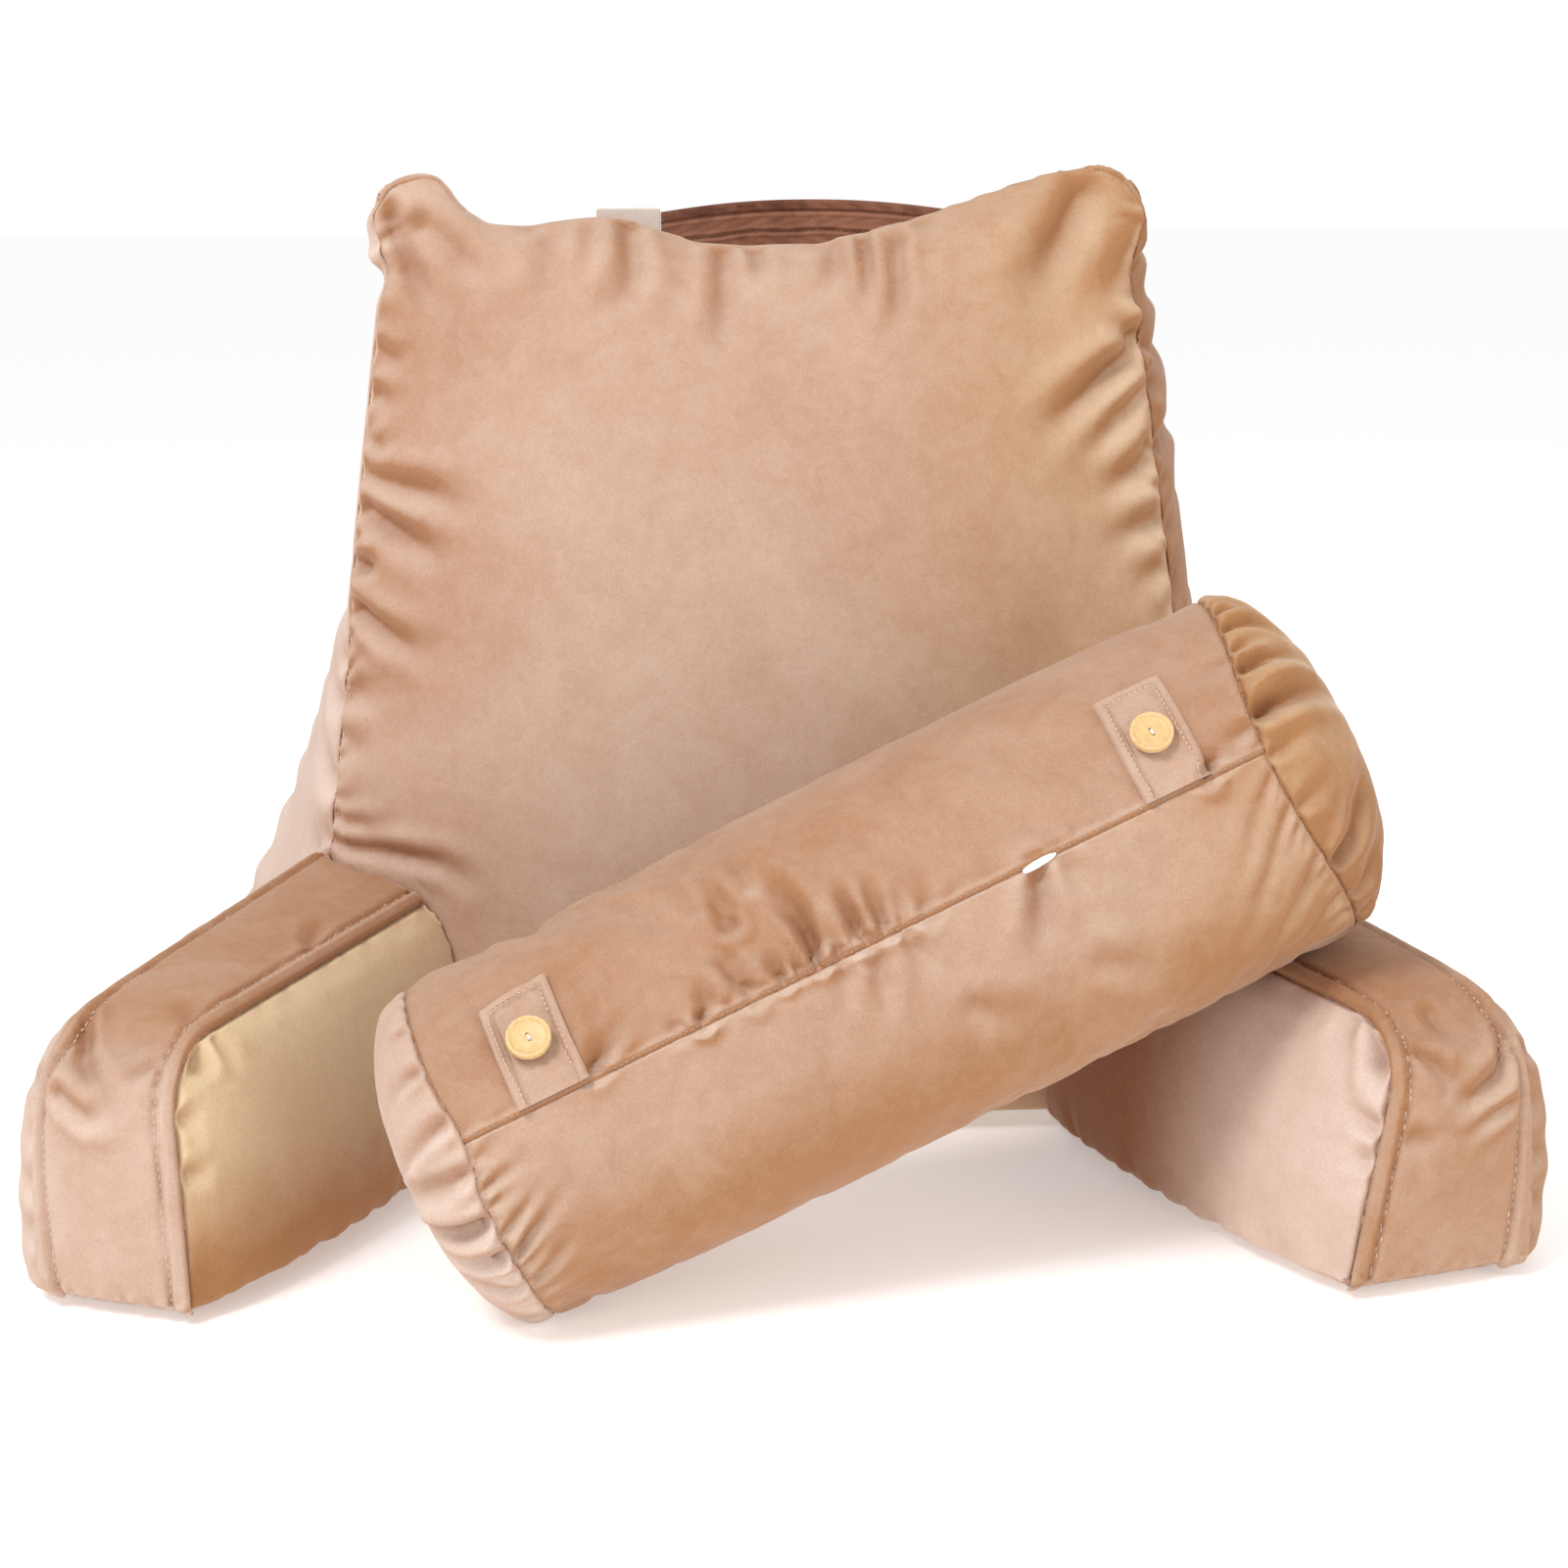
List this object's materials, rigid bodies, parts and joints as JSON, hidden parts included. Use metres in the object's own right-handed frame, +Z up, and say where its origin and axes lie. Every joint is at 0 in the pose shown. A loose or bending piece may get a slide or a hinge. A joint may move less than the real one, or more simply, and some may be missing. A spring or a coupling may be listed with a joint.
{
  "type": "back support pillow with neck roll",
  "caption": "Upright velvet backrest cushion with splayed armrests, eared top corners and a carry strap behind; a buttoned bolster lies tilted across its arms.",
  "frame": {"origin": "middle of the backrest's flat base, on the surface that the pillow stands on", "axes": "+Z up; the pillow faces -Y, the way its arms reach; +X is to the right as seen from the front"},
  "size_m": [0.723, 0.556, 0.5154],
  "materials": {
    "sand_velvet": "short-pile velvet with a soft nap",
    "brown_velvet": "short-pile velvet strap with rows of topstitching",
    "light_wood": "satin, fine straight grain",
    "white_pull": "satin white"
  },
  "bodies": {
    "root": {"backrest": "sand_velvet", "arm_left": "sand_velvet", "arm_right": "sand_velvet", "neck_roll": "sand_velvet", "button_tab_left": "sand_velvet", "button_tab_right": "sand_velvet", "button_left": "light_wood", "button_right": "light_wood", "zip_pull": "white_pull", "handle_cuff_left": "sand_velvet", "handle_cuff_right": "sand_velvet", "handle_strap": "brown_velvet"}
  },
  "joints": []
}
